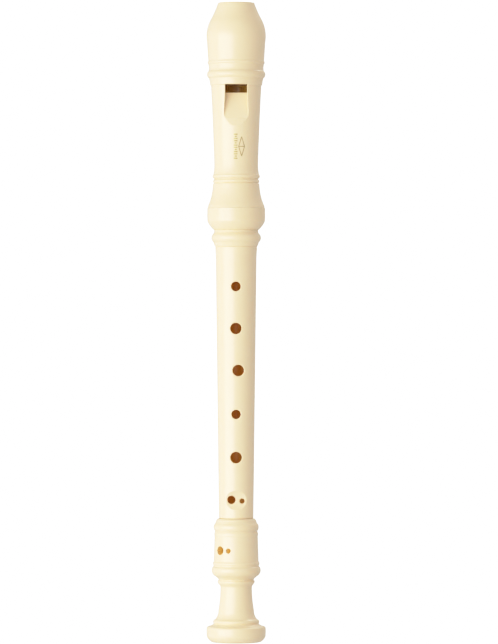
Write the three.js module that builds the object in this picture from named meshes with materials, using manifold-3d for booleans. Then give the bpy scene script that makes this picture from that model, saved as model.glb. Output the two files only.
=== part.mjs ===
// A soprano recorder of moulded plastic: head joint with its block and bulb ring, middle joint, foot joint.
//
// Millimetres. The origin is the centre of the bell's end face, +Z runs up the bore to the beak, and the
// window and the finger holes face -Y. Heights are measured up from the bell's end face.

import * as THREE from "three";
import { ConvexGeometry } from "three/addons/geometries/ConvexGeometry.js";
import { mergeVertices } from "three/addons/utils/BufferGeometryUtils.js";
import Module from "manifold-3d";

const wasm = await Module();
wasm.setup();

// ---- Driving dimensions ----

const LENGTH = 330; // bell end to beak tip
const FOOT_TOP = 63.8; // the foot joint's upper rim
const HEAD_END = 212.6; // the head joint's lower rim
const RING_SEAT = 224.1; // shoulder that the bulb ring is glued against
const GAP = 0.15; // air between faces that meet

const TURN_STEPS = 40; // facets round a turned surface
const ARC_STEPS = 4; // straight steps in one moulded bead or cove
const HOLE_STEPS = 20;

// Bore, sockets and tenons
const HEAD_BORE = 6.6; // radii
const MIDDLE_BORE_TOP = 6.5;
const MIDDLE_BORE_END = 5.2;
const FOOT_BORE = 5.05;
const FOOT_THROAT = 4.85;
const HEAD_SOCKET = 9.1;
const HEAD_SOCKET_DEPTH = 24.2;
const UPPER_TENON = HEAD_SOCKET - 0.2;
const FOOT_SOCKET = 7.4;
const FOOT_SOCKET_DEPTH = 13.6;
const LOWER_TENON = FOOT_SOCKET - 0.18;
const TENON_END_GAP = 0.5; // below each tenon's end, in its socket
const TENON_LEAD = 0.6; // chamfer that leads a tenon in
const GREASE_GROOVE = 0.2; // depth of the grooves round a tenon
const SOCKET_TUBE = 10.2; // outside of the head's socket tube, inside the bulb ring

// Window, ramp and windway
const WINDOW_TOP = 287.4;
const LABIUM = 283.2; // height of the sharp edge
const WINDOW_HALF_WIDTH = 5.25;
const WALL_DRAFT = 0.1; // the window's sides open outwards by this much for each millimetre
const LABIUM_TOP = 6.87; // ramp's distance in front of the axis at the sharp edge
const LABIUM_UNDERSIDE = 6.62;
const RAMP_END = 266.2; // where the ramp runs out of the body at the middle
const RAMP_CREST = 12.05; // body radius there
const RAMP_LOW_HALF_WIDTH = 6.6;
const UNDERCUT_END = 268;
const UNDERCUT_LOW = 3.8;
const WINDWAY_ROOF = { tip: 6.3, exit: 7.25 }; // distances in front of the axis
const WINDWAY_FLOOR = { tip: 4.9, exit: 6.25 };
const BLOCK_SEAT = 6.9; // radius of the round part of the seat

// The beak's concave cut, an arc between a point on the tip and one on the back
const BEAK_LIP = { y: -0.5, z: LENGTH };
const BEAK_HEEL = { y: 14.7, z: 301.5 };
const BEAK_HOLLOW = 3.2; // depth of the arc under its chord
const BEAK_STEPS = 96;

// Finger holes: offset is the distance to the right of the piece's own front line
const MIDDLE_HOLES = [
  { height: 183.5, diameter: 4.9, offset: -0.1 },
  { height: 161.9, diameter: 5.75, offset: -0.1 },
  { height: 140.3, diameter: 5.8, offset: 1.1 },
  { height: 117.7, diameter: 4.7, offset: 0 },
  { height: 95.5, diameter: 5.85, offset: 0 },
  { height: 73.7, diameter: 4.2, offset: -2.4 },
  { height: 73.1, diameter: 2.6, offset: 3.05 },
];
const THUMB_HOLE = { height: 192.5, diameter: 5.2, offset: 0 };
const FOOT_HOLES = [
  { height: 47.6, diameter: 4.4, offset: -2.6 },
  { height: 47.5, diameter: 2.5, offset: 2.5 },
];
const FOOT_TURN = -34; // degrees the foot is turned on its tenon
const FINGER_REST = { height: 73.4, depthFromAxis: 7.35, radius: 8 }; // scoop under the double hole

const OUTSIDE = 22; // a distance that clears every radius

// ---- Turned outlines ----

// An outline in (radius, height). It runs up the outside of a piece and down its inside.
class Outline {
  constructor(radius, height) {
    this.points = [new THREE.Vector2(radius, height)];
  }

  line(radius, height) {
    this.points.push(new THREE.Vector2(radius, height));
    return this;
  }

  // A circular arc that stands `rise` out of its chord, to the right of the way the outline runs:
  // on the outside of a piece that is a bead when it is positive and a cove when it is negative.
  arc(radius, height, rise, steps = ARC_STEPS) {
    const start = this.points.at(-1);
    const end = new THREE.Vector2(radius, height);
    const chord = end.clone().sub(start);
    const right = new THREE.Vector2(chord.y, -chord.x).normalize();
    const arcRadius = (chord.lengthSq() / 4 + rise * rise) / (2 * rise);
    const centre = start.clone().add(end).multiplyScalar(0.5).addScaledVector(right, rise - arcRadius);
    const sweep = 4 * Math.atan((2 * rise) / chord.length());
    for (let i = 1; i < steps; i++) {
      this.points.push(start.clone().rotateAround(centre, (sweep * i) / steps));
    }
    this.points.push(end);
    return this;
  }

  // A smooth flare, drawn towards the control point.
  flare(controlRadius, controlHeight, radius, height, steps = ARC_STEPS) {
    const curve = new THREE.QuadraticBezierCurve(
      this.points.at(-1),
      new THREE.Vector2(controlRadius, controlHeight),
      new THREE.Vector2(radius, height),
    );
    this.points.push(...curve.getPoints(steps).slice(1));
    return this;
  }

  // The solid that this outline makes when it is turned about the axis.
  turned() {
    const geometry = new THREE.LatheGeometry([...this.points, this.points[0]], TURN_STEPS);
    return solid(geometry.rotateX(Math.PI / 2));
  }
}

// ---- Solids ----

function solid(geometry) {
  const bare = geometry.index ? geometry.toNonIndexed() : geometry.clone();
  bare.deleteAttribute("normal");
  bare.deleteAttribute("uv");
  const merged = mergeVertices(bare, 1e-4);
  return new wasm.Manifold(
    new wasm.Mesh({
      numProp: 3,
      vertProperties: merged.attributes.position.array,
      triVerts: new Uint32Array(merged.index.array),
    }),
  );
}

function meshOf(name, manifold, color) {
  const data = manifold.getMesh();
  const geometry = new THREE.BufferGeometry();
  geometry.setAttribute("position", new THREE.BufferAttribute(data.vertProperties, 3));
  geometry.setIndex(new THREE.BufferAttribute(data.triVerts, 1));
  const faceted = geometry.toNonIndexed();
  faceted.computeVertexNormals();
  const material = new THREE.MeshStandardMaterial({ color, roughness: 0.35, metalness: 0 });
  const mesh = new THREE.Mesh(faceted, material);
  mesh.name = name;
  return mesh;
}

// The convex solid whose cross-sections across the axis are given by their corners at two heights.
// Each corner is [half width, y], and stands on both sides of the middle plane.
function wedge(lowHeight, lowCorners, highHeight, highCorners) {
  const both = (corners, height) =>
    corners.flatMap(([x, y]) => [new THREE.Vector3(x, y, height), new THREE.Vector3(-x, y, height)]);
  return solid(new ConvexGeometry([...both(lowCorners, lowHeight), ...both(highCorners, highHeight)]));
}

// A round pin that stands on the plane through the axis and reaches out through the front wall.
function holePin({ height, diameter, offset }) {
  const geometry = new THREE.CylinderGeometry(diameter / 2, diameter / 2, OUTSIDE, HOLE_STEPS);
  return solid(geometry.translate(offset, -OUTSIDE / 2, height));
}

// ---- Head joint ----

// The value at one height of a straight line through two (height, value) points.
function along(height, [heightA, valueA], [heightB, valueB]) {
  return valueA + ((valueB - valueA) * (height - heightA)) / (heightB - heightA);
}

function headOutline() {
  const socketBottom = HEAD_END + HEAD_SOCKET_DEPTH;
  return new Outline(HEAD_SOCKET, HEAD_END)
    .line(SOCKET_TUBE, HEAD_END)
    .line(SOCKET_TUBE, RING_SEAT)
    .line(14.85, RING_SEAT)
    .line(14.5, 225.4)
    .flare(12.42, 229.9, 12.0, 236.5) // top of the bulb
    .line(11.5, 236.85)
    .arc(11.5, 238.75, 0.5) // two thin beads over the bulb
    .line(11.45, 239.1)
    .arc(12.05, 241.1, 0.5)
    .line(11.88, 241.3)
    .flare(11.35, 243.8, 11.36, 247, 2)
    .flare(12.05, 269, 13.05, 287) // long taper up to the beak's mouldings
    .line(13.5, 287.5)
    .line(13.8, 289.8)
    .line(14.05, 290.6)
    .line(14.12, 290.9)
    .arc(14.45, 294.65, 0.88) // main bead
    .line(14.32, 294.8)
    .line(14.16, 296.3)
    .line(14.38, 298.1)
    .arc(14.62, 299.7, 0.3, 3) // ridge under the beak
    .line(14.5, 299.9)
    .line(15.1, 309.5)
    .arc(13.4, 321, 0.95)
    .arc(9.5, 329.7, -0.2, 2)
    .line(9.3, LENGTH)
    .line(BLOCK_SEAT, LENGTH)
    .line(BLOCK_SEAT, WINDOW_TOP)
    .line(HEAD_BORE, WINDOW_TOP)
    .line(HEAD_BORE, socketBottom)
    .line(HEAD_SOCKET, socketBottom);
}

// The space over the block: the windway, and the room beside the block's flat top.
function windwayChannel() {
  const past = 1;
  const roof = (height) => along(height, [WINDOW_TOP, -WINDWAY_ROOF.exit], [LENGTH, -WINDWAY_ROOF.tip]);
  const section = (height) => [
    [WINDOW_HALF_WIDTH, 0],
    [WINDOW_HALF_WIDTH, roof(height)],
  ];
  return wedge(WINDOW_TOP - past, section(WINDOW_TOP - past), LENGTH + past, section(LENGTH + past));
}

function windowOpening() {
  const outerHalfWidth = WINDOW_HALF_WIDTH + WALL_DRAFT * (OUTSIDE - LABIUM_TOP);
  const section = [
    [WINDOW_HALF_WIDTH, 0],
    [WINDOW_HALF_WIDTH, -LABIUM_TOP],
    [outerHalfWidth, -OUTSIDE],
  ];
  return wedge(LABIUM, section, WINDOW_TOP, section);
}

function ramp() {
  const low = RAMP_END - 4;
  const high = LABIUM + 1;
  const section = (height) => {
    const y = along(height, [LABIUM, -LABIUM_TOP], [RAMP_END, -RAMP_CREST]);
    const halfWidth = along(height, [LABIUM, WINDOW_HALF_WIDTH], [RAMP_END, RAMP_LOW_HALF_WIDTH]);
    return [
      [halfWidth, y],
      [halfWidth + WALL_DRAFT * (OUTSIDE + y), -OUTSIDE],
    ];
  };
  return wedge(low, section(low), high, section(high));
}

// Thins the labium from inside, so that its whole edge is sharp.
function undercut() {
  const high = LABIUM + 1;
  const flat = along(high, [LABIUM, -LABIUM_UNDERSIDE], [UNDERCUT_END, -UNDERCUT_LOW]);
  const low = [
    [WINDOW_HALF_WIDTH, 0],
    [WINDOW_HALF_WIDTH, -UNDERCUT_LOW],
  ];
  const top = [
    [WINDOW_HALF_WIDTH, 0],
    [WINDOW_HALF_WIDTH, flat],
  ];
  return wedge(UNDERCUT_END, low, high, top);
}

function beakCut() {
  const lip = new THREE.Vector2(BEAK_LIP.y, BEAK_LIP.z);
  const heel = new THREE.Vector2(BEAK_HEEL.y, BEAK_HEEL.z);
  const chord = heel.clone().sub(lip);
  const radius = (chord.lengthSq() / 4 + BEAK_HOLLOW ** 2) / (2 * BEAK_HOLLOW);
  const away = new THREE.Vector2(-chord.y, chord.x).normalize();
  const centre = lip.clone().add(heel).multiplyScalar(0.5).addScaledVector(away, radius - BEAK_HOLLOW);
  const geometry = new THREE.CylinderGeometry(radius, radius, 2 * OUTSIDE, BEAK_STEPS);
  return solid(geometry.rotateZ(Math.PI / 2).translate(0, centre.x, centre.y));
}

function headJoint() {
  return headOutline()
    .turned()
    .subtract(windwayChannel())
    .subtract(windowOpening())
    .subtract(ramp())
    .subtract(undercut())
    .subtract(beakCut());
}

// The block that fills the beak under the windway. Its flat top is the windway's floor.
function windwayBlock() {
  const low = WINDOW_TOP + GAP;
  const core = new Outline(0, low)
    .line(BLOCK_SEAT - GAP, low)
    .line(BLOCK_SEAT - GAP, LENGTH)
    .line(0, LENGTH)
    .turned();
  const floor = (height) => along(height, [WINDOW_TOP, -WINDWAY_FLOOR.exit], [LENGTH, -WINDWAY_FLOOR.tip]);
  const shoulders = (height) => [
    [WINDOW_HALF_WIDTH - GAP, 0],
    [WINDOW_HALF_WIDTH - GAP, floor(height)],
  ];
  const air = (height) => [
    [OUTSIDE, floor(height)],
    [OUTSIDE, -OUTSIDE],
  ];
  const past = 1;
  return core
    .add(wedge(low, shoulders(low), LENGTH, shoulders(LENGTH)))
    .subtract(wedge(low - past, air(low - past), LENGTH + past, air(LENGTH + past)))
    .subtract(beakCut());
}

// The thick ring that gives the bulb its widest part and covers the head's socket.
function bulbRing() {
  const top = RING_SEAT - GAP;
  const inside = SOCKET_TUBE + GAP;
  return new Outline(inside, HEAD_END)
    .line(11.5, HEAD_END)
    .arc(14.9, 217.2, 0.36)
    .arc(14.94, 223.1, 0.11, 2)
    .line(15.02, top - 0.15)
    .line(14.9, top)
    .line(inside, top)
    .turned();
}

// ---- Middle joint ----

// Two shallow grooves round a tenon that hold the joint grease, in the middle half of its length.
function tenonGrooves(outline, radius, low, high) {
  const width = 1.2;
  for (const share of [0.35, 0.6]) {
    const height = low + share * (high - low);
    outline
      .line(radius, height)
      .line(radius - GREASE_GROOVE, height + 0.2)
      .line(radius - GREASE_GROOVE, height + width - 0.2)
      .line(radius, height + width);
  }
  return outline;
}

function middleOutline() {
  const lowerShoulder = FOOT_TOP + GAP;
  const upperShoulder = HEAD_END - GAP;
  const lowerEnd = FOOT_TOP - FOOT_SOCKET_DEPTH + TENON_END_GAP;
  const upperEnd = HEAD_END + HEAD_SOCKET_DEPTH - TENON_END_GAP;
  const outline = new Outline(MIDDLE_BORE_END, lowerEnd)
    .line(LOWER_TENON - TENON_LEAD, lowerEnd)
    .line(LOWER_TENON, lowerEnd + TENON_LEAD);
  tenonGrooves(outline, LOWER_TENON, lowerEnd, lowerShoulder)
    .line(LOWER_TENON, lowerShoulder)
    .line(8.7, lowerShoulder)
    .line(8.95, lowerShoulder + 0.25)
    .line(10.56, 198)
    .line(10.85, 203.7)
    .line(10.62, 203.95)
    .line(11.05, 204.25)
    .line(11.85, 206.35)
    .arc(12.15, 210.6, 0.85) // bead below the head joint
    .line(11.62, 211.15)
    .line(11.47, 211.6)
    .line(11.4, upperShoulder)
    .line(UPPER_TENON, upperShoulder);
  return tenonGrooves(outline, UPPER_TENON, upperShoulder, upperEnd)
    .line(UPPER_TENON, upperEnd - TENON_LEAD)
    .line(UPPER_TENON - TENON_LEAD, upperEnd)
    .line(MIDDLE_BORE_TOP, upperEnd);
}

// The shallow scoop that lets one finger find both small holes.
function fingerRest() {
  const { height, depthFromAxis, radius } = FINGER_REST;
  const geometry = new THREE.CylinderGeometry(radius, radius, 2 * OUTSIDE, BEAK_STEPS / 2);
  return solid(geometry.rotateZ(Math.PI / 2).translate(0, -depthFromAxis - radius, height));
}

function middleJoint() {
  const thumbPin = holePin(THUMB_HOLE).rotate([0, 0, 180]);
  return MIDDLE_HOLES.reduce((joint, hole) => joint.subtract(holePin(hole)), middleOutline().turned())
    .subtract(fingerRest())
    .subtract(thumbPin);
}

// ---- Foot joint ----

function footOutline() {
  const socketBottom = FOOT_TOP - FOOT_SOCKET_DEPTH;
  return new Outline(9.3, 0)
    .line(12.4, 0)
    .arc(15.3, 3.2, 0.5) // rim of the bell
    .line(15.38, 5.2)
    .line(15.36, 7.3)
    .line(15.1, 7.9)
    .line(14.5, 8.28)
    .arc(11.75, 9.6, -0.25, 3)
    .line(11.7, 9.75)
    .arc(11.3, 11.75, 0.48, 3) // ring over the bell
    .line(10.75, 12.05)
    .arc(9.25, 16.4, -0.4)
    .arc(8.15, 27.5, -0.2)
    .line(8.22, 28.8)
    .line(8.62, 29.45)
    .line(9.4, 30.35) // ring at the waist, with a sharp upper edge
    .line(9.64, 31)
    .line(9.62, 31.75)
    .line(9.12, 31.95)
    .line(9.15, 32.45)
    .arc(10.75, 33.95, -0.06, 2)
    .arc(12.35, 38.7, 1.05) // bead over the waist
    .line(11.85, 39.1)
    .line(11.8, 39.75)
    .arc(11.72, 41.6, 0.34, 3)
    .line(11.64, 41.9)
    .line(11.22, 54.7)
    .arc(11.1, 57, 0.22, 3)
    .line(10.98, 57.3)
    .arc(11.3, 60.95, 0.58) // bead at the top of the foot
    .line(10.98, 61.25)
    .line(10.42, 62.5)
    .line(10.38, 62.9)
    .line(9.85, 63.5)
    .line(9.65, FOOT_TOP)
    .line(FOOT_SOCKET, FOOT_TOP)
    .line(FOOT_SOCKET, socketBottom)
    .line(FOOT_BORE, socketBottom)
    .line(FOOT_THROAT, 17)
    .flare(5.4, 4.5, 8.8, 0.6); // bell
}

function footJoint() {
  return FOOT_HOLES.reduce((joint, hole) => joint.subtract(holePin(hole)), footOutline().turned()).rotate([
    0,
    0,
    FOOT_TURN,
  ]);
}

// ---- The recorder ----

const IVORY = 0xf3e6c6;

const recorder = new THREE.Group();
recorder.add(
  meshOf("head_joint", headJoint(), IVORY),
  meshOf("windway_block", windwayBlock(), IVORY),
  meshOf("bulb_ring", bulbRing(), IVORY),
  meshOf("middle_joint", middleJoint(), IVORY),
  meshOf("foot_joint", footJoint(), IVORY),
);

export default recorder;
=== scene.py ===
"""A soprano recorder of moulded ivory plastic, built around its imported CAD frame.

Every turned piece is made again from its outline with a fine surface, rounded corners and filleted finger
holes, and stands for its coarse CAD node. Outlines and hole places are in millimetres, in the frame's axes:
+Z up the bore from the bell's end face, -Y the side of the window and the finger holes.
"""

import math

import bmesh
import bpy
from mathutils import Matrix, Vector


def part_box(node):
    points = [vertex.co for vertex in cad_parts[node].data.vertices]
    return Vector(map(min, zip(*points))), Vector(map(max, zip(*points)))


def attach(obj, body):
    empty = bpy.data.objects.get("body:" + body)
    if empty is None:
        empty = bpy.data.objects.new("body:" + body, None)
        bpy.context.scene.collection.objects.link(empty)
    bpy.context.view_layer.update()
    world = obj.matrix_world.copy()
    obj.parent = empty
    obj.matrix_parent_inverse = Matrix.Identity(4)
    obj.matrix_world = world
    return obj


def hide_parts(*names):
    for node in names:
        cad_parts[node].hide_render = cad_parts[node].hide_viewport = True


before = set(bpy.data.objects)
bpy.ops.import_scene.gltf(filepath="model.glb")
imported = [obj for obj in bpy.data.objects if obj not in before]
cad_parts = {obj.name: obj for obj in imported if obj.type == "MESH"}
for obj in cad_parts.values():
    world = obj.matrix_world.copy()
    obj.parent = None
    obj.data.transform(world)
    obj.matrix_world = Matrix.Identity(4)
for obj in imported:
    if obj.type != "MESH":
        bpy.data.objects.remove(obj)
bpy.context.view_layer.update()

MM = 0.001

# ---- Places taken from the frame ----


def low(node):
    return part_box(node)[0].z / MM


def high(node):
    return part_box(node)[1].z / MM


LENGTH = high("head_joint")
FOOT_TOP = high("foot_joint")
HEAD_END = low("head_joint")
RING_TOP = high("bulb_ring")
MIDDLE_LOW = low("middle_joint")
MIDDLE_HIGH = high("middle_joint")
BLOCK_LOW = low("windway_block")

# ---- Driving dimensions ----

SEAM = 0.08  # air between pieces that meet
TIGHT_SEAM = 0.02  # the same where they are pressed together for good
TURN_STEPS = 192
ARC_STEPS = 10
LONGEST_STEP = 2.5  # longest straight step along an outline
SLIVER = 0.001  # a face narrower than this is dissolved
CORNER = 0.13  # how far from a moulded corner its rounding starts
CORNER_SHARE = 0.45  # the most of an edge that one rounding may take
SHARP_TURN = math.radians(18)  # an outline that turns more than this has a corner there
SAME_PLACE = 1e-6  # points nearer than this are one point
OUTSIDE = 22  # well outside every piece
PAST_END = 1  # how far a cutter runs past the end of what it cuts

HEAD_BORE = 6.6
MIDDLE_BORE_TOP = 6.5
MIDDLE_BORE_END = 5.2
FOOT_BORE = 5.05
FOOT_THROAT = 4.85
HEAD_SOCKET = 9.1
SOCKET_TUBE = 10.2
UPPER_TENON = 8.9
FOOT_SOCKET = 7.4
LOWER_TENON = 7.22
TENON_END_GAP = 0.5
TENON_LEAD = 0.6
GREASE_GROOVE = 0.2
HEAD_SOCKET_BOTTOM = MIDDLE_HIGH + TENON_END_GAP
FOOT_SOCKET_BOTTOM = MIDDLE_LOW - TENON_END_GAP

WINDOW_TOP = 287.4
LABIUM = 283.2
WINDOW_HALF_WIDTH = 5.25
WALL_DRAFT = 0.1
LABIUM_TOP = 6.87
LABIUM_UNDERSIDE = 6.62
RAMP_END = 266.2
RAMP_CREST = 12.05
RAMP_LOW_HALF_WIDTH = 6.6
RAMP_TIP = 266.3  # where the ramp has run out to the surface
RAMP_STEPS, WINDOW_STEPS = 60, 8
WINDOW_ROUNDING = 0.4
LEAST_ROUNDING = 0.02
UNDERCUT_END = 268
UNDERCUT_LOW = 3.8
UNDERCUT_PAST_EDGE = 0.5
ROOF_TIP, ROOF_EXIT = 6.3, 7.25
FLOOR_TIP, FLOOR_EXIT = 4.9, 6.25
BLOCK_SEAT = 6.9

BEAK_LIP = Vector((-0.5, LENGTH))
BEAK_HEEL = Vector((14.7, 301.5))
BEAK_HOLLOW = 3.2
BEAK_STEPS = 360

# (height, diameter, offset to the right of the piece's front line, rounding of the rim)
MIDDLE_HOLES = [
    (183.5, 4.9, -0.1, 0.4),
    (161.9, 5.75, -0.1, 0.45),
    (140.3, 5.8, 1.1, 0.45),
    (117.7, 4.7, 0, 0.4),
    (95.5, 5.85, 0, 0.45),
    (73.7, 4.2, -2.4, 0.35),
    (73.1, 2.6, 3.05, 0.3),
]
THUMB_HOLE = (192.5, 5.2, 0, 0.45)
FOOT_HOLES = [(47.6, 4.4, -2.6, 0.35), (47.5, 2.5, 2.5, 0.3)]
FOOT_TURN = math.radians(-34)
REST_HEIGHT, REST_DEPTH, REST_RADIUS = 73.4, 7.35, 8  # the scoop under the double hole
REST_STEPS = 160
HOLE_STEPS = 64
HOLE_DEPTHS = (6, 5, 4, 3, 2.2, 1.5, 1)  # rings down a hole's wall, close enough to carry its painted shade and glow
FILLET_DEGREES = range(12, 80, 11)  # the steps round a rim's fillet
PAST_FILLET = (0.05, 0.3, 1.5)  # rings that carry a fillet on out of the surface

FOIL = 0.025  # how far the foil stands out of the surface
FOIL_STEP = 0.5
FOIL_LINE = 0.36
RUNG_THICKNESS = 0.58
RUNG_LOW, RUNG_PITCH, RUNG_COUNT = 249.3, 1.12, 12
RUNG_WIDTHS = (1.9, 1.1, 1.9)  # repeated up the column
COLUMN_PLACE = -0.25
LOZENGE_CENTRE = (2.8, 255.4)
LOZENGE_HALF = (1.5, 5.0)


# ---- Outlines ----


class Outline:
    """An outline in (radius, height). It runs up the outside of a piece and down its inside."""

    def __init__(self, radius, height):
        self.points = [Vector((radius, height))]
        self.outer = None

    def line(self, radius, height):
        self.points.append(Vector((radius, height)))
        return self

    def arc(self, radius, height, rise):
        """A circular arc that stands rise out of its chord: a bead if positive, a cove if negative."""
        start, end = self.points[-1], Vector((radius, height))
        chord = end - start
        right = Vector((chord.y, -chord.x)).normalized()
        arc_radius = (chord.length_squared / 4 + rise * rise) / (2 * rise)
        centre = (start + end) / 2 + right * (rise - arc_radius)
        sweep = 4 * math.atan(2 * rise / chord.length)
        for i in range(1, ARC_STEPS):
            turn = Matrix.Rotation(sweep * i / ARC_STEPS, 2)
            self.points.append(centre + turn @ (start - centre))
        self.points.append(end)
        return self

    def flare(self, control_radius, control_height, radius, height):
        """A smooth flare, drawn towards the control point."""
        start, end = self.points[-1], Vector((radius, height))
        control = Vector((control_radius, control_height))
        for i in range(1, ARC_STEPS + 1):
            t = i / ARC_STEPS
            self.points.append(start * (1 - t) ** 2 + control * 2 * t * (1 - t) + end * t * t)
        return self

    def outside_ends(self):
        """Marks the end of the outside, so that outer_radius reads no bore or socket."""
        self.outer = len(self.points)
        return self

    def outer_radius(self, height):
        """The outside's radius at a height, for holes that cut through it."""
        outer = self.points[: self.outer]
        for a, b in zip(outer, outer[1:]):
            if a.y <= height <= b.y and b.y > a.y:
                return a.x + (b.x - a.x) * (height - a.y) / (b.y - a.y)
        return outer[-1].x


def rounded(points):
    """The closed outline with each sharp corner rounded off."""
    made = []
    for i, corner in enumerate(points):
        before, after = points[i - 1], points[(i + 1) % len(points)]
        arriving, leaving = corner - before, after - corner
        if arriving.length < SAME_PLACE:
            continue
        if arriving.angle(leaving) < SHARP_TURN:
            made.append(corner)
            continue
        reach = min(CORNER, arriving.length * CORNER_SHARE, leaving.length * CORNER_SHARE)
        start = corner - arriving.normalized() * reach
        end = corner + leaving.normalized() * reach
        for quarter in range(5):
            t = quarter / 4
            made.append(start * (1 - t) ** 2 + corner * 2 * t * (1 - t) + end * t * t)
    return made


def spaced(points):
    """The closed outline with no step longer than LONGEST_STEP."""
    made = []
    for i, start in enumerate(points):
        end = points[(i + 1) % len(points)]
        pieces = max(1, math.ceil((end - start).length / LONGEST_STEP))
        made += [start.lerp(end, k / pieces) for k in range(pieces)]
    return made


# ---- Meshes ----


def mesh_object(name, vertices, faces):
    """A mesh object from millimetre vertices, with its faces turned outwards."""
    mesh = bpy.data.meshes.new(name)
    mesh.from_pydata([Vector(v) * MM for v in vertices], [], faces)
    shape = bmesh.new()
    shape.from_mesh(mesh)
    bmesh.ops.recalc_face_normals(shape, faces=shape.faces)
    shape.to_mesh(mesh)
    shape.free()
    made = bpy.data.objects.new(name, mesh)
    bpy.context.scene.collection.objects.link(made)
    return made


def rings_object(name, rings, closed):
    """A surface through rings of equal length: joined last to first if closed, capped at its ends if not."""
    size = len(rings[0])
    vertices = [v for ring in rings for v in ring]
    faces = []
    for i in range(len(rings) if closed else len(rings) - 1):
        a, b = i * size, (i + 1) % len(rings) * size
        faces += [(a + k, a + (k + 1) % size, b + (k + 1) % size, b + k) for k in range(size)]
    if not closed:
        faces.append(tuple(range(size)))
        faces.append(tuple(range((len(rings) - 1) * size, len(rings) * size)))
    return mesh_object(name, vertices, faces)


def turned(name, outline):
    """The outline turned about the axis, with its corners rounded."""
    angles = [math.tau * k / TURN_STEPS for k in range(TURN_STEPS)]
    rings = [
        [(p.x * math.sin(a), -p.x * math.cos(a), p.y) for a in angles]
        for p in spaced(rounded(outline.points))
    ]
    return rings_object(name, rings, closed=True)


def wedge(low_height, low_corners, high_height, high_corners):
    """The convex solid whose cross-sections are given by their corners, [half width, y], at two heights."""
    shape = bmesh.new()
    for height, corners in ((low_height, low_corners), (high_height, high_corners)):
        for x, y in corners:
            shape.verts.new(Vector((x, y, height)) * MM)
            shape.verts.new(Vector((-x, y, height)) * MM)
    bmesh.ops.convex_hull(shape, input=shape.verts)
    mesh = bpy.data.meshes.new("wedge")
    shape.to_mesh(mesh)
    shape.free()
    made = bpy.data.objects.new("wedge", mesh)
    bpy.context.scene.collection.objects.link(made)
    return made


def side_bar(name, centre, radius, steps):
    """A round bar that lies from side to side. Its centre is (y, height)."""
    angles = [math.tau * k / steps for k in range(steps)]
    rings = [
        [(x, centre.x + radius * math.cos(a), centre.y + radius * math.sin(a)) for a in angles]
        for x in (-OUTSIDE, OUTSIDE)
    ]
    return rings_object(name, rings, closed=False)


def combine(piece, other, operation):
    """Cuts other from piece, or joins it on, and removes it."""
    modifier = piece.modifiers.new("combine", "BOOLEAN")
    modifier.operation = operation
    modifier.object = other
    modifier.solver = "MANIFOLD"
    result = bpy.data.meshes.new_from_object(piece.evaluated_get(bpy.context.evaluated_depsgraph_get()))
    piece.modifiers.clear()
    piece.data = result
    bpy.data.objects.remove(other)


def cut(piece, *cutters):
    for cutter in cutters:
        combine(piece, cutter, "DIFFERENCE")


def drop_slivers(piece):
    """Dissolves the faces without area and the points along straight edges that cuts leave."""
    shape = bmesh.new()
    shape.from_mesh(piece.data)
    bmesh.ops.triangulate(shape, faces=shape.faces)
    bmesh.ops.dissolve_degenerate(shape, edges=shape.edges, dist=SLIVER * MM)
    shape.to_mesh(piece.data)
    shape.free()


def shaded(piece, sharp_degrees=32):
    """Smooth shading that breaks at real edges."""
    piece.data.shade_smooth()
    piece.data.set_sharp_from_angle(angle=math.radians(sharp_degrees))


# ---- Finger holes ----


def hole_pin(height, diameter, offset, rounding, surface):
    """A pin through the front wall whose neck opens into a fillet where it meets the surface.

    surface(x, height) is the outside's distance in front of the axis.
    """
    radius = diameter / 2

    def ring(ring_radius, depth):
        points = []
        for k in range(HOLE_STEPS):
            a = math.tau * k / HOLE_STEPS
            x = offset + ring_radius * math.cos(a)
            z = height + ring_radius * math.sin(a)
            points.append((x, depth - surface(x, z), z))
        return points

    def flat_ring(ring_radius, y):
        return [(x, y, z) for x, _, z in ring(ring_radius, 0)]

    rings = [flat_ring(radius, 0)]
    rings += [ring(radius, depth) for depth in (*HOLE_DEPTHS, rounding)]
    for degrees in FILLET_DEGREES:
        t = math.radians(degrees)
        rings.append(ring(radius + rounding * (1 - math.cos(t)), rounding * (1 - math.sin(t))))
    last = math.radians(FILLET_DEGREES[-1])
    edge = radius + rounding * (1 - math.cos(last))
    slope = math.cos(last) / math.sin(last)
    for beyond in PAST_FILLET:
        rings.append(ring(edge + beyond, rounding * (1 - math.sin(last)) - beyond * slope))
    rings.append(flat_ring(edge + PAST_FILLET[-1], -OUTSIDE))
    return rings_object("pin", rings, closed=False)


def tube_surface(outline):
    """The front of a turned piece as a distance in front of the axis."""

    def surface(x, height):
        radius = outline.outer_radius(height)
        return math.sqrt(max(radius * radius - x * x, 0))

    return surface


def rest_depth(height):
    """How far in front of the axis the scoop under the double hole leaves the surface."""
    across = REST_RADIUS**2 - (height - REST_HEIGHT) ** 2
    return REST_DEPTH + REST_RADIUS - math.sqrt(max(across, 0))


def rest_surface(outline):
    """The front of the middle joint where the scoop lowers it."""
    tube = tube_surface(outline)

    def surface(x, height):
        return min(tube(x, height), rest_depth(height))

    return surface


# ---- The pieces ----


def along(height, start, end):
    """The value at a height on the line through two (height, value) points."""
    return start[1] + (end[1] - start[1]) * (height - start[0]) / (end[0] - start[0])


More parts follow.
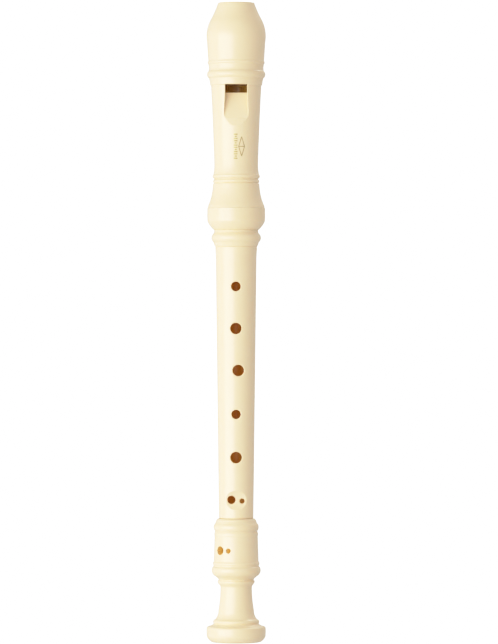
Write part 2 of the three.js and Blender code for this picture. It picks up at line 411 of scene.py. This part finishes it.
def head_outline():
    ring_seat = RING_TOP + TIGHT_SEAM
    return (
        Outline(HEAD_SOCKET, HEAD_END)
        .line(SOCKET_TUBE, HEAD_END)
        .line(SOCKET_TUBE, ring_seat)
        .line(14.85, ring_seat)
        .line(14.5, 225.4)
        .flare(12.42, 229.9, 12.0, 236.5)  # top of the bulb
        .line(11.5, 236.85)
        .arc(11.5, 238.75, 0.5)  # two thin beads over the bulb
        .line(11.45, 239.1)
        .arc(12.05, 241.1, 0.5)
        .line(11.88, 241.3)
        .flare(11.35, 243.8, 11.36, 247)
        .flare(12.05, 269, 13.05, 287)  # long taper up to the beak's mouldings
        .line(13.5, 287.5)
        .line(13.8, 289.8)
        .line(14.05, 290.6)
        .line(14.12, 290.9)
        .arc(14.45, 294.65, 0.88)  # main bead
        .line(14.32, 294.8)
        .line(14.16, 296.3)
        .line(14.38, 298.1)
        .arc(14.62, 299.7, 0.3)  # ridge under the beak
        .line(14.5, 299.9)
        .line(15.1, 309.5)
        .arc(13.4, 321, 0.95)
        .arc(9.5, 329.7, -0.2)
        .line(9.3, LENGTH)
        .outside_ends()
        .line(BLOCK_SEAT, LENGTH)
        .line(BLOCK_SEAT, WINDOW_TOP)
        .line(HEAD_BORE, WINDOW_TOP)
        .line(HEAD_BORE, HEAD_SOCKET_BOTTOM)
        .line(HEAD_SOCKET, HEAD_SOCKET_BOTTOM)
    )


def windway_channel():
    """The room above the block, whose front is the windway's roof."""

    def section(height):
        roof = -along(height, (WINDOW_TOP, ROOF_EXIT), (LENGTH, ROOF_TIP))
        return [(WINDOW_HALF_WIDTH, 0), (WINDOW_HALF_WIDTH, roof)]

    start, end = WINDOW_TOP - PAST_END, LENGTH + PAST_END
    return wedge(start, section(start), end, section(end))


def flared_slot(name, heights, floor, half_width, surface):
    """A slot in the front, lofted through cross-sections whose walls open into a rounding at the surface.

    Where the floor nears the surface, the slot is only as wide as the floor's chord inside the outside.
    """
    least_chord, past_rim, above_rim = 0.01, 2, 0.5
    rings = []
    for z in heights:
        y = floor(z)
        chord = math.sqrt(max(surface(0, z) ** 2 - y * y, least_chord**2))
        x = min(half_width(z), chord)
        side = [(x, y)]
        top = surface(x, z)
        rounding = min(WINDOW_ROUNDING, max(LEAST_ROUNDING, (top - y) * CORNER_SHARE))
        wall = x + WALL_DRAFT * (top - rounding - max(y, LABIUM_TOP))
        side.append((wall, surface(wall, z) - rounding))
        for degrees in FILLET_DEGREES:
            t = math.radians(degrees)
            out = wall + rounding * (1 - math.cos(t))
            side.append((out, surface(out, z) - rounding * (1 - math.sin(t))))
        out = side[-1][0] + past_rim
        side.append((out, surface(out, z) + above_rim))
        side.append((out, OUTSIDE))
        left = [(-x, -y, z) for x, y in reversed(side)]
        right = [(x, -y, z) for x, y in side]
        rings.append(left + right)
    return rings_object(name, rings, closed=False)


def window_and_ramp(surface):
    """The window's opening and the ramp that runs down from the sharp edge."""

    def ramp_floor(z):
        return along(z, (LABIUM, LABIUM_TOP), (RAMP_END, RAMP_CREST))

    def ramp_half_width(z):
        return along(z, (LABIUM, WINDOW_HALF_WIDTH), (RAMP_END, RAMP_LOW_HALF_WIDTH))

    def heights(start, end, steps):
        return [start + (end - start) * k / steps for k in range(steps + 1)]

    overlap = 0.02
    ramp_heights = heights(RAMP_TIP, LABIUM + overlap, RAMP_STEPS)
    window_heights = heights(LABIUM, WINDOW_TOP, WINDOW_STEPS)
    return (
        flared_slot("window", window_heights, lambda z: 0.0, lambda z: WINDOW_HALF_WIDTH, surface),
        flared_slot("ramp", ramp_heights, ramp_floor, ramp_half_width, surface),
    )


def undercut():
    """The slant under the sharp edge that thins it from inside."""
    top = LABIUM + UNDERCUT_PAST_EDGE
    flat = -along(top, (LABIUM, LABIUM_UNDERSIDE), (UNDERCUT_END, UNDERCUT_LOW))
    low_section = [(WINDOW_HALF_WIDTH, 0), (WINDOW_HALF_WIDTH, -UNDERCUT_LOW)]
    return wedge(UNDERCUT_END, low_section, top, [(WINDOW_HALF_WIDTH, 0), (WINDOW_HALF_WIDTH, flat)])


def beak_cut():
    """The round bar whose side makes the hollow on the beak's back."""
    chord = BEAK_HEEL - BEAK_LIP
    radius = (chord.length_squared / 4 + BEAK_HOLLOW**2) / (2 * BEAK_HOLLOW)
    away = Vector((-chord.y, chord.x)).normalized()
    centre = (BEAK_LIP + BEAK_HEEL) / 2 + away * (radius - BEAK_HOLLOW)
    return side_bar("bar", centre, radius, BEAK_STEPS)


def head_shell():
    outline = head_outline()
    piece = turned("head_shell", outline)
    window, ramp = window_and_ramp(tube_surface(outline))
    cut(piece, windway_channel(), window, ramp, undercut(), beak_cut())
    return piece, outline


def block():
    """The plug in the beak. Its flat top is the windway's floor."""
    bottom, radius, half = BLOCK_LOW, BLOCK_SEAT - SEAM, WINDOW_HALF_WIDTH - SEAM
    core = 0.5  # the turned piece's empty middle, which the slab fills
    slab_back = 3
    outline = Outline(core, bottom).line(radius, bottom).line(radius, LENGTH).line(core, LENGTH)
    piece = turned("windway_plug", outline)

    def floor(height):
        return -along(height, (WINDOW_TOP, FLOOR_EXIT), (LENGTH, FLOOR_TIP))

    def slab(height):
        return [(half, slab_back), (half, floor(height))]

    def air(height):
        return [(OUTSIDE, floor(height)), (OUTSIDE, -OUTSIDE)]

    combine(piece, wedge(bottom, slab(bottom), LENGTH, slab(LENGTH)), "UNION")
    start, end = bottom - PAST_END, LENGTH + PAST_END
    cut(piece, wedge(start, air(start), end, air(end)), beak_cut())
    return piece


def bulb_ring():
    inside = SOCKET_TUBE + SEAM
    outline = (
        Outline(inside, HEAD_END)
        .line(11.5, HEAD_END)
        .arc(14.9, 217.2, 0.36)
        .arc(14.94, 223.1, 0.11)
        .line(15.02, RING_TOP - 0.15)
        .line(14.9, RING_TOP)
        .outside_ends()
        .line(inside, RING_TOP)
    )
    return turned("bulb_band", outline), outline


def tenon_grooves(outline, radius, start, end):
    """Two shallow grooves round a tenon that hold the joint grease."""
    width, shoulder = 1.2, 0.2
    for share in (0.35, 0.6):
        height = start + share * (end - start)
        outline.line(radius, height)
        outline.line(radius - GREASE_GROOVE, height + shoulder)
        outline.line(radius - GREASE_GROOVE, height + width - shoulder)
        outline.line(radius, height + width)
    return outline


def middle_outline():
    lower_shoulder = FOOT_TOP + SEAM
    upper_shoulder = HEAD_END - TIGHT_SEAM
    outline = Outline(MIDDLE_BORE_END, MIDDLE_LOW)
    outline.line(LOWER_TENON - TENON_LEAD, MIDDLE_LOW).line(LOWER_TENON, MIDDLE_LOW + TENON_LEAD)
    tenon_grooves(outline, LOWER_TENON, MIDDLE_LOW, lower_shoulder)
    (
        outline.line(LOWER_TENON, lower_shoulder)
        .line(8.7, lower_shoulder)
        .line(8.95, lower_shoulder + 0.25)
        .line(10.56, 198)
        .line(10.85, 203.7)
        .line(10.62, 203.95)
        .line(11.05, 204.25)
        .line(11.85, 206.35)
        .arc(12.15, 210.6, 0.85)  # bead below the head joint
        .line(11.62, 211.15)
        .line(11.47, 211.6)
        .line(11.4, upper_shoulder)
        .line(UPPER_TENON, upper_shoulder)
    )
    tenon_grooves(outline, UPPER_TENON, upper_shoulder, MIDDLE_HIGH)
    return (
        outline.line(UPPER_TENON, MIDDLE_HIGH - TENON_LEAD)
        .line(UPPER_TENON - TENON_LEAD, MIDDLE_HIGH)
        .outside_ends()
        .line(MIDDLE_BORE_TOP, MIDDLE_HIGH)
    )


def scoop():
    """The round bar that leaves the shallow rest under the double hole."""
    return side_bar("scoop", Vector((-REST_DEPTH - REST_RADIUS, REST_HEIGHT)), REST_RADIUS, REST_STEPS)


def middle_tube():
    outline = middle_outline()
    piece = turned("middle_tube", outline)
    thumb_pin = hole_pin(*THUMB_HOLE, tube_surface(outline))
    thumb_pin.data.transform(Matrix.Rotation(math.pi, 4, "Z"))
    cut(piece, scoop(), thumb_pin)
    for hole in MIDDLE_HOLES:
        cut(piece, hole_pin(*hole, rest_surface(outline)))
    return piece, outline


def foot_outline():
    return (
        Outline(9.3, 0)
        .line(12.4, 0)
        .arc(15.3, 3.2, 0.5)  # rim of the bell
        .line(15.38, 5.2)
        .line(15.36, 7.3)
        .line(15.1, 7.9)
        .line(14.5, 8.28)
        .arc(11.75, 9.6, -0.25)
        .line(11.7, 9.75)
        .arc(11.3, 11.75, 0.48)  # ring over the bell
        .line(10.75, 12.05)
        .arc(9.25, 16.4, -0.4)
        .arc(8.15, 27.5, -0.2)
        .line(8.22, 28.8)
        .line(8.62, 29.45)
        .line(9.4, 30.35)  # ring at the waist, with a sharp upper edge
        .line(9.64, 31)
        .line(9.62, 31.75)
        .line(9.12, 31.95)
        .line(9.15, 32.45)
        .arc(10.75, 33.95, -0.06)
        .arc(12.35, 38.7, 1.05)  # bead over the waist
        .line(11.85, 39.1)
        .line(11.8, 39.75)
        .arc(11.72, 41.6, 0.34)
        .line(11.64, 41.9)
        .line(11.22, 54.7)
        .arc(11.1, 57, 0.22)
        .line(10.98, 57.3)
        .arc(11.3, 60.95, 0.58)  # bead at the top of the foot
        .line(10.98, 61.25)
        .line(10.42, 62.5)
        .line(10.38, 62.9)
        .line(9.85, 63.5)
        .line(9.65, FOOT_TOP)
        .outside_ends()
        .line(FOOT_SOCKET, FOOT_TOP)
        .line(FOOT_SOCKET, FOOT_SOCKET_BOTTOM)
        .line(FOOT_BORE, FOOT_SOCKET_BOTTOM)
        .line(FOOT_THROAT, 17)
        .flare(5.4, 4.5, 8.8, 0.6)  # bell
    )


def foot_bell():
    outline = foot_outline()
    piece = turned("foot_bell", outline)
    for hole in FOOT_HOLES:
        cut(piece, hole_pin(*hole, tube_surface(outline)))
    piece.data.transform(Matrix.Rotation(FOOT_TURN, 4, "Z"))
    return piece, outline


def foil_strip(surface, start, end, width):
    """Rings along a strip of foil that lies on the surface. Places are (x, height)."""
    start, end = Vector(start), Vector(end)
    side = (end - start).orthogonal().normalized() * width / 2
    steps = max(2, math.ceil((end - start).length / FOIL_STEP))
    rings = []
    for i in range(steps + 1):
        centre = start.lerp(end, i / steps)
        ring = []
        for share, lift in ((-1, -FOIL), (0, -FOIL), (1, -FOIL), (1, FOIL), (0, FOIL), (-1, FOIL)):
            spot = centre + side * share
            ring.append((spot.x, -surface(spot.x, spot.y) - lift, spot.y))
        rings.append(ring)
    return rings


def foil_mark(surface):
    """A plain mark in gold foil: a column of rungs beside a lozenge with a bar across it."""
    strips = []
    for k in range(RUNG_COUNT):
        z = RUNG_LOW + k * RUNG_PITCH
        half = RUNG_WIDTHS[k % len(RUNG_WIDTHS)] / 2
        strips.append(((COLUMN_PLACE - half, z), (COLUMN_PLACE + half, z), RUNG_THICKNESS))
    centre = Vector(LOZENGE_CENTRE)
    corners = [
        centre + Vector((LOZENGE_HALF[0], 0)),
        centre + Vector((0, LOZENGE_HALF[1])),
        centre - Vector((LOZENGE_HALF[0], 0)),
        centre - Vector((0, LOZENGE_HALF[1])),
    ]
    strips += [(corners[i - 1], corners[i], FOIL_LINE) for i in range(4)]
    strips.append((corners[0], corners[2], FOIL_LINE))
    made = [rings_object("foil_mark", foil_strip(surface, *strip), closed=False) for strip in strips]
    for strip in made[1:]:
        combine(made[0], strip, "UNION")
    return made[0]


# ---- Materials ----

# Painted shade: the same ivory plastic is given a darker, warmer tone deep in the holes and the window,
# where little light reaches.
PAINTED_HOLE_SHADE = (0.80, 0.56, 0.17, 1)
PAINTED_WINDOW_SHADE = (0.60, 0.38, 0.08, 1)
PAINTED_BORE_GLOW = Vector((0.045, 0.014, 0.0006))  # painted glow, emitted by the surface, for light that has come through the plastic into the bore
THICK_WALL, WALL_FADE = 4.2, 2.0  # the bore's painted glow is full up to this wall, and fades beyond it
PAINTED_HOLE_GLOW = Vector((0.16, 0.12, 0.03))  # painted glow, emitted by the surface, for light that has come sideways into a hole's wall
HOLE_FADE = 0.4  # the share of its reach at which the hole's painted glow begins to fade
BELL_SHADE = 0.15  # how fast the painted shade draws in to the bore's wall towards the bell's mouth
THIN_SKIN = 0.15  # a hole's painted shade is full this far behind a sharp rim
THICK_SKIN = 2.5  # and this far behind a wide and light one


def smooth_step(low, high, value):
    t = min(max((value - low) / (high - low), 0), 1)
    return t * t * (3 - 2 * t)


def store_painted_shade_and_glow(piece, outline, skin, depth, reach):
    """Stores at each point how far it is inside a hole, for its painted shade, and a painted glow for light
    through the wall.

    skin(height) is the radius inside which a point begins to count as inside. It counts fully at depth below
    it. A hole's own painted glow ends at reach below the outside.
    """
    inside = piece.data.attributes.new("inside", "FLOAT", "POINT")
    glow = piece.data.attributes.new("glow", "FLOAT_COLOR", "POINT")
    for v in piece.data.vertices:
        height, radius = v.co.z / MM, math.hypot(v.co.x, v.co.y) / MM
        share = smooth_step(0, depth, skin(height) - radius)
        wall = outline.outer_radius(height) - radius
        light = PAINTED_BORE_GLOW * math.exp(-max(wall - THICK_WALL, 0) / WALL_FADE)
        light += PAINTED_HOLE_GLOW * (1 - smooth_step(HOLE_FADE * reach, reach, wall))
        inside.data[v.index].value = share
        glow.data[v.index].color = (*(light * share), 1)


def plastic(name, dark_tone, light_tone, painted_shade_inside, roughness):
    """Moulded ABS, slightly cloudy, with a fine ripple in its gloss; painted shade and a painted glow deep
    in its holes.
    """
    material = bpy.data.materials.new(name)
    material.use_nodes = True
    nodes, links = material.node_tree.nodes, material.node_tree.links
    shader = nodes["Principled BSDF"]
    shader.inputs["Roughness"].default_value = roughness
    shader.inputs["IOR"].default_value = 1.53
    shader.inputs["Subsurface Weight"].default_value = 0.2
    shader.inputs["Subsurface Radius"].default_value = (1.0, 0.75, 0.5)
    shader.inputs["Subsurface Scale"].default_value = 0.001

    place = nodes.new("ShaderNodeTexCoord")
    cloud = nodes.new("ShaderNodeTexNoise")
    cloud.inputs["Scale"].default_value = 45
    cloud.inputs["Detail"].default_value = 3
    links.new(place.outputs["Object"], cloud.inputs["Vector"])

    tone = nodes.new("ShaderNodeMix")
    tone.data_type = "RGBA"
    tone.inputs["A"].default_value = dark_tone
    tone.inputs["B"].default_value = light_tone
    links.new(cloud.outputs["Fac"], tone.inputs["Factor"])

    # painted shade: the stored share inside a hole mixes in the darker, warmer hole tone
    inside = nodes.new("ShaderNodeAttribute")
    inside.attribute_name = "inside"
    hole = nodes.new("ShaderNodeMix")
    hole.data_type = "RGBA"
    hole.inputs["B"].default_value = painted_shade_inside
    links.new(inside.outputs["Fac"], hole.inputs["Factor"])
    links.new(tone.outputs["Result"], hole.inputs["A"])
    links.new(hole.outputs["Result"], shader.inputs["Base Color"])

    # painted glow: the stored glow is emitted, standing in for light carried through the plastic
    glow = nodes.new("ShaderNodeAttribute")
    glow.attribute_name = "glow"
    links.new(glow.outputs["Color"], shader.inputs["Emission Color"])
    shader.inputs["Emission Strength"].default_value = 1

    ripple = nodes.new("ShaderNodeTexNoise")
    ripple.inputs["Scale"].default_value = 900
    ripple.inputs["Detail"].default_value = 2
    links.new(place.outputs["Object"], ripple.inputs["Vector"])
    bump = nodes.new("ShaderNodeBump")
    bump.inputs["Strength"].default_value = 0.12
    bump.inputs["Distance"].default_value = 0.00002
    links.new(ripple.outputs["Fac"], bump.inputs["Height"])
    links.new(bump.outputs["Normal"], shader.inputs["Normal"])
    return material


def ivory_material(name, painted_shade_inside):
    """The satin ivory of the three joints."""
    return plastic(name, (0.855, 0.672, 0.415, 1), (0.875, 0.697, 0.445, 1), painted_shade_inside, 0.28)


def block_material():
    """The block is moulded from a slightly whiter and duller batch."""
    # Deep in the windway the block is painted with the darker window shade.
    return plastic("block_abs", (0.86, 0.70, 0.46, 1), (0.89, 0.74, 0.51, 1), PAINTED_WINDOW_SHADE, 0.36)


def foil_material():
    """Hot-stamped gold foil, rubbed thin in places."""
    material = bpy.data.materials.new("gold_foil")
    material.use_nodes = True
    nodes, links = material.node_tree.nodes, material.node_tree.links
    shader = nodes["Principled BSDF"]
    shader.inputs["Metallic"].default_value = 0.85

    place = nodes.new("ShaderNodeTexCoord")
    rubbed = nodes.new("ShaderNodeTexNoise")
    rubbed.inputs["Scale"].default_value = 1400
    rubbed.inputs["Detail"].default_value = 4
    links.new(place.outputs["Object"], rubbed.inputs["Vector"])
    tone = nodes.new("ShaderNodeMix")
    tone.data_type = "RGBA"
    tone.inputs["A"].default_value = (0.38, 0.28, 0.08, 1)
    tone.inputs["B"].default_value = (0.72, 0.60, 0.28, 1)
    links.new(rubbed.outputs["Fac"], tone.inputs["Factor"])
    links.new(tone.outputs["Result"], shader.inputs["Base Color"])
    gloss = nodes.new("ShaderNodeMapRange")
    gloss.inputs["To Min"].default_value = 0.25
    gloss.inputs["To Max"].default_value = 0.5
    links.new(rubbed.outputs["Fac"], gloss.inputs["Value"])
    links.new(gloss.outputs["Result"], shader.inputs["Roughness"])
    return material


# ---- Assembly ----


def place_piece(piece, material, body):
    shaded(piece)
    piece.data.materials.clear()
    piece.data.materials.append(material)
    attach(piece, body)


head, head_line = head_shell()
plug = block()
band, band_line = bulb_ring()
middle, middle_line = middle_tube()
foot, foot_line = foot_bell()
mark = foil_mark(tube_surface(head_line))
for piece in (head, plug, band, middle, foot, mark):
    drop_slivers(piece)


def beside_head_bore(height):
    """The head's window, ramp and windway mouth are open and light. Only what is deeper counts as inside and
    is painted in shade.
    """
    beside_bore = HEAD_BORE + 0.25
    if height < WINDOW_TOP:
        return beside_bore
    return along(height, (WINDOW_TOP, beside_bore), (LENGTH, 0))


def beside_foot_bore(height):
    """The bell's mouth and the socket's mouth are open and light in the same way."""
    from_bell = FOOT_BORE + BELL_SHADE * height
    from_socket = FOOT_SOCKET + FOOT_TOP - height
    return min(foot_line.outer_radius(height), from_bell, from_socket)


def beside_finger_rest(height):
    """The scoop under the double hole is open and light too."""
    return min(middle_line.outer_radius(height), rest_depth(height))


store_painted_shade_and_glow(head, head_line, beside_head_bore, depth=THIN_SKIN, reach=3.3)
store_painted_shade_and_glow(plug, head_line, beside_head_bore, depth=THIN_SKIN, reach=3.3)
store_painted_shade_and_glow(band, band_line, beside_head_bore, depth=THIN_SKIN, reach=3.3)
store_painted_shade_and_glow(middle, middle_line, beside_finger_rest, depth=2, reach=2.4)
store_painted_shade_and_glow(foot, foot_line, beside_foot_bore, depth=THICK_SKIN, reach=6)

# Both ivories carry painted shade in their holes; the head's copy is darker, for the window.
ivory = ivory_material("ivory_abs", PAINTED_HOLE_SHADE)
place_piece(head, ivory_material("ivory_abs_head", PAINTED_WINDOW_SHADE), "head")
place_piece(plug, block_material(), "head")
place_piece(band, ivory, "head")
place_piece(middle, ivory, "middle")
place_piece(foot, ivory, "foot")
place_piece(mark, foil_material(), "head")
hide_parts("head_joint")
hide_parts("windway_block")
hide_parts("bulb_ring")
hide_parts("middle_joint")
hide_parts("foot_joint")


# ---- Stage, lights and camera ----

CAMERA_DISTANCE = 2.2
VIEW_HEIGHT = 0.3324  # what the frame's height covers at the recorder's axis
CAMERA_SIDE = 0.0066  # the recorder stands this far left of the middle of the view
CAMERA_LEVEL = 0.1652
SURROUND = 0.68
WHITE_LEVEL = 2.0
FLOOR_HALF, FLOOR_DROP = 8, 0.0002
SHOULDER = [(0.5, 0.5), (0.8, 0.757), (1.1, 0.888), (1.45, 0.975)]  # scene light, and the light shown for it
ALL_CHANNELS = 3  # the view's curve that acts on all three colours
LIT_CENTRE = (0, 0, 0.165)


def white_to_the_eye(tree, seen, felt):
    """Mixes two shaders of a stage: seen is what shows behind the object, felt is what lights it."""
    path = tree.nodes.new("ShaderNodeLightPath")
    mix = tree.nodes.new("ShaderNodeMixShader")
    tree.links.new(path.outputs["Is Camera Ray"], mix.inputs["Fac"])
    tree.links.new(felt.outputs[0], mix.inputs[1])
    tree.links.new(seen.outputs[0], mix.inputs[2])
    return mix


def stage():
    """An even white studio: a pale floor that meets a white surround, and a dimmer light from all round.

    The floor is lit from beneath, like a light table, so the light comes through it.
    """
    quarters = [(-1, -1), (1, -1), (1, 1), (-1, 1)]
    mesh = bpy.data.meshes.new("floor")
    mesh.from_pydata([(x * FLOOR_HALF, y * FLOOR_HALF, 0) for x, y in quarters], [], [(0, 1, 2, 3)])
    floor = bpy.data.objects.new("floor", mesh)
    bpy.context.scene.collection.objects.link(floor)
    floor.location.z = -FLOOR_DROP
    material = bpy.data.materials.new("pale_floor")
    material.use_nodes = True
    tree = material.node_tree
    tree.nodes.clear()
    white = tree.nodes.new("ShaderNodeEmission")
    white.inputs["Strength"].default_value = WHITE_LEVEL
    glass = tree.nodes.new("ShaderNodeBsdfTransparent")
    output = tree.nodes.new("ShaderNodeOutputMaterial")
    tree.links.new(white_to_the_eye(tree, white, glass).outputs[0], output.inputs["Surface"])
    mesh.materials.append(material)

    world = bpy.data.worlds.new("studio")
    world.use_nodes = True
    tree = world.node_tree
    tree.nodes.clear()
    white = tree.nodes.new("ShaderNodeBackground")
    white.inputs["Color"].default_value = (1, 1, 1, 1)
    white.inputs["Strength"].default_value = WHITE_LEVEL
    surround = tree.nodes.new("ShaderNodeBackground")
    surround.inputs["Color"].default_value = (1, 1, 1, 1)
    surround.inputs["Strength"].default_value = SURROUND
    output = tree.nodes.new("ShaderNodeOutputWorld")
    tree.links.new(white_to_the_eye(tree, white, surround).outputs[0], output.inputs["Surface"])
    bpy.context.scene.world = world


def softbox(name, place, target, width, height, watts):
    light = bpy.data.lights.new(name, "AREA")
    light.shape = "RECTANGLE"
    light.size, light.size_y = width, height
    light.energy = watts
    made = bpy.data.objects.new(name, light)
    made.location = place
    made.rotation_euler = (Vector(target) - Vector(place)).to_track_quat("-Z", "Y").to_euler()
    bpy.context.scene.collection.objects.link(made)
    return made


def camera():
    data = bpy.data.cameras.new("camera")
    data.sensor_width = 24
    data.lens = data.sensor_width * CAMERA_DISTANCE / VIEW_HEIGHT
    data.clip_start, data.clip_end = 0.05, 30
    made = bpy.data.objects.new("camera", data)
    made.location = (CAMERA_SIDE, -CAMERA_DISTANCE, CAMERA_LEVEL)
    made.rotation_euler = (math.radians(90), 0, 0)
    bpy.context.scene.collection.objects.link(made)
    bpy.context.scene.camera = made


def develop():
    """A plain view with a soft shoulder, so that pale plastic keeps its tone in the bright highlight."""
    view = bpy.context.scene.view_settings
    view.view_transform = "Standard"
    view.use_curve_mapping = True
    view.curve_mapping.white_level = (WHITE_LEVEL, WHITE_LEVEL, WHITE_LEVEL)
    points = view.curve_mapping.curves[ALL_CHANNELS].points
    for scene_light, shown in SHOULDER:
        points.new(scene_light / WHITE_LEVEL, shown)
    view.curve_mapping.update()


stage()
softbox("key", (-0.9, -0.95, 0.06), LIT_CENTRE, 1.5, 0.9, 20)
softbox("side", (-1.25, 0.36, 0.06), LIT_CENTRE, 1.5, 0.9, 2)
softbox("back", (0.35, 0.85, 1.3), LIT_CENTRE, 1.0, 0.8, 8)
camera()
develop()
